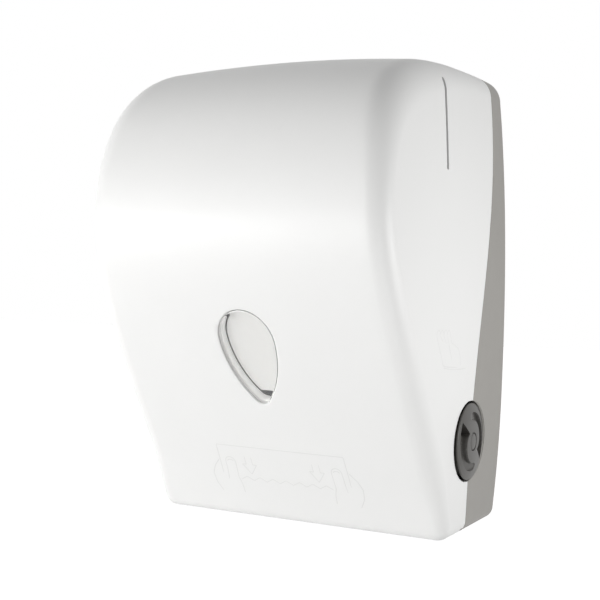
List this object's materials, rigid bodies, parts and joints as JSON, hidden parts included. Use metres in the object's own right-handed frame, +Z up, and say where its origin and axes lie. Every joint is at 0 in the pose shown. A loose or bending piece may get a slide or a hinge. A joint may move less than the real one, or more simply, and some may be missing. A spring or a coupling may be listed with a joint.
{
  "type": "autocut towel dispenser",
  "caption": "Wall-hung roll towel dispenser: bottom-hinged white cover with a teardrop window, grey wall plate, side feed knob and an inner drum with a cutting knife.",
  "frame": {"origin": "middle of the four wall holes, on the wall plane", "axes": "+X to the viewer's right, +Y into the wall, +Z up"},
  "size_m": [0.2778, 0.225, 0.38],
  "materials": {
    "cover_white": "satin",
    "plate_grey": "fine grain",
    "knob_grey": "fine grain",
    "guide_grey": "smooth",
    "drum_white": "smooth",
    "acetal": "smooth",
    "steel": "plain",
    "zinc": "bright",
    "grip_rubber": "matt",
    "clear_lens": "clear"
  },
  "bodies": {
    "wall_frame": {"back_plate": "plate_grey", "hinge_pins": "steel", "side_frame_left": "guide_grey", "side_frame_right": "guide_grey", "tie_rods": "steel", "frame_screws": "steel", "front_guide": "guide_grey", "rear_guide": "guide_grey", "drum_bush_left": "acetal", "drum_bush_right": "acetal", "cam_plate": "acetal", "spring_anchor": "steel", "spring_housing": "drum_white", "housing_screws": "steel", "drive_spring": "steel", "lock_keeper": "steel", "arm_brackets": "guide_grey", "arm_pins": "steel", "arm_springs": "steel", "pinch_pivots": "steel", "pinch_springs": "steel"},
    "cover": {"front_cover": "cover_white", "window_lens": "clear_lens", "window_tray": "cover_white", "lock_housing": "zinc", "lock_nut": "zinc"},
    "lock": {"lock_plug": "zinc", "lock_hook": "steel", "lock_screw": "steel"},
    "drum": {"drum_shaft": "steel", "drum_shell": "drum_white", "drum_end_left": "drum_white", "drum_end_right": "drum_white", "grip_bands": "grip_rubber", "feed_knob": "knob_grey", "knob_cap": "knob_grey", "knob_screw": "steel", "crank_disc": "steel", "crank_pin": "steel", "knife_spring": "steel"},
    "knife": {"knife_shaft": "steel", "knife_carrier": "acetal", "knife_blade": "steel", "blade_screws": "steel", "follower_lever": "steel", "cam_follower": "acetal"},
    "pinch_yoke": {"pinch_arm_left": "guide_grey", "pinch_arm_right": "guide_grey", "pinch_shaft": "steel", "pinch_bar": "guide_grey"},
    "pinch_roll": {"pinch_roller": "drum_white", "pinch_tyres": "grip_rubber"},
    "arm_left": {"roll_arm_left": "drum_white", "hub_axle_left": "steel"},
    "arm_right": {"roll_arm_right": "drum_white", "hub_axle_right": "steel"},
    "core_left": {"hub_left": "drum_white"},
    "core_right": {"hub_right": "drum_white"}
  },
  "joints": [
    {"name": "cover_hinge", "type": "hinge", "parent": "wall_frame", "child": "cover", "pos_m": [0, -0.0705, -0.17], "axis": [1, 0, 0], "range_deg": [0, 85]},
    {"name": "lock_turn", "type": "hinge", "parent": "cover", "child": "lock", "pos_m": [0, -0.04, 0.185], "axis": [0, 0, 1], "range_deg": [0, 90]},
    {"name": "drum_spin", "type": "hinge", "parent": "wall_frame", "child": "drum", "pos_m": [0, -0.0675, -0.1005], "axis": [1, 0, 0], "continuous": true, "deforming": ["drive_spring"]},
    {"name": "knife_swing", "type": "hinge", "parent": "drum", "child": "knife", "pos_m": [0, -0.09437, -0.10191], "axis": [1, 0, 0], "range_deg": [0, 30], "stiffness_Nm_per_rad": 0.05, "springref_deg": -28.65},
    {"name": "pinch_lift", "type": "hinge", "parent": "wall_frame", "child": "pinch_yoke", "pos_m": [0, -0.022, -0.07], "axis": [-1, 0, 0], "range_deg": [0, 10], "stiffness_Nm_per_rad": 0.5, "springref_deg": -17.19},
    {"name": "pinch_spin", "type": "hinge", "parent": "pinch_yoke", "child": "pinch_roll", "pos_m": [0, -0.04683, -0.05618], "axis": [1, 0, 0], "continuous": true},
    {"name": "arm_left_swing", "type": "hinge", "parent": "wall_frame", "child": "arm_left", "pos_m": [-0.112, -0.022, 0.075], "axis": [0, 0, -1], "range_deg": [0, 6], "stiffness_Nm_per_rad": 0.5, "springref_deg": -5.73},
    {"name": "arm_right_swing", "type": "hinge", "parent": "wall_frame", "child": "arm_right", "pos_m": [0.112, -0.022, 0.075], "axis": [0, 0, 1], "range_deg": [0, 6], "stiffness_Nm_per_rad": 0.5, "springref_deg": -5.73},
    {"name": "core_left_spin", "type": "hinge", "parent": "arm_left", "child": "core_left", "pos_m": [-0.1, -0.106, 0.075], "axis": [1, 0, 0], "continuous": true},
    {"name": "core_right_spin", "type": "hinge", "parent": "arm_right", "child": "core_right", "pos_m": [0.1, -0.106, 0.075], "axis": [1, 0, 0], "continuous": true}
  ],
  "couplings": [
    {"joint": "pinch_spin", "follows": "drum_spin", "ratio": -3.86}
  ]
}
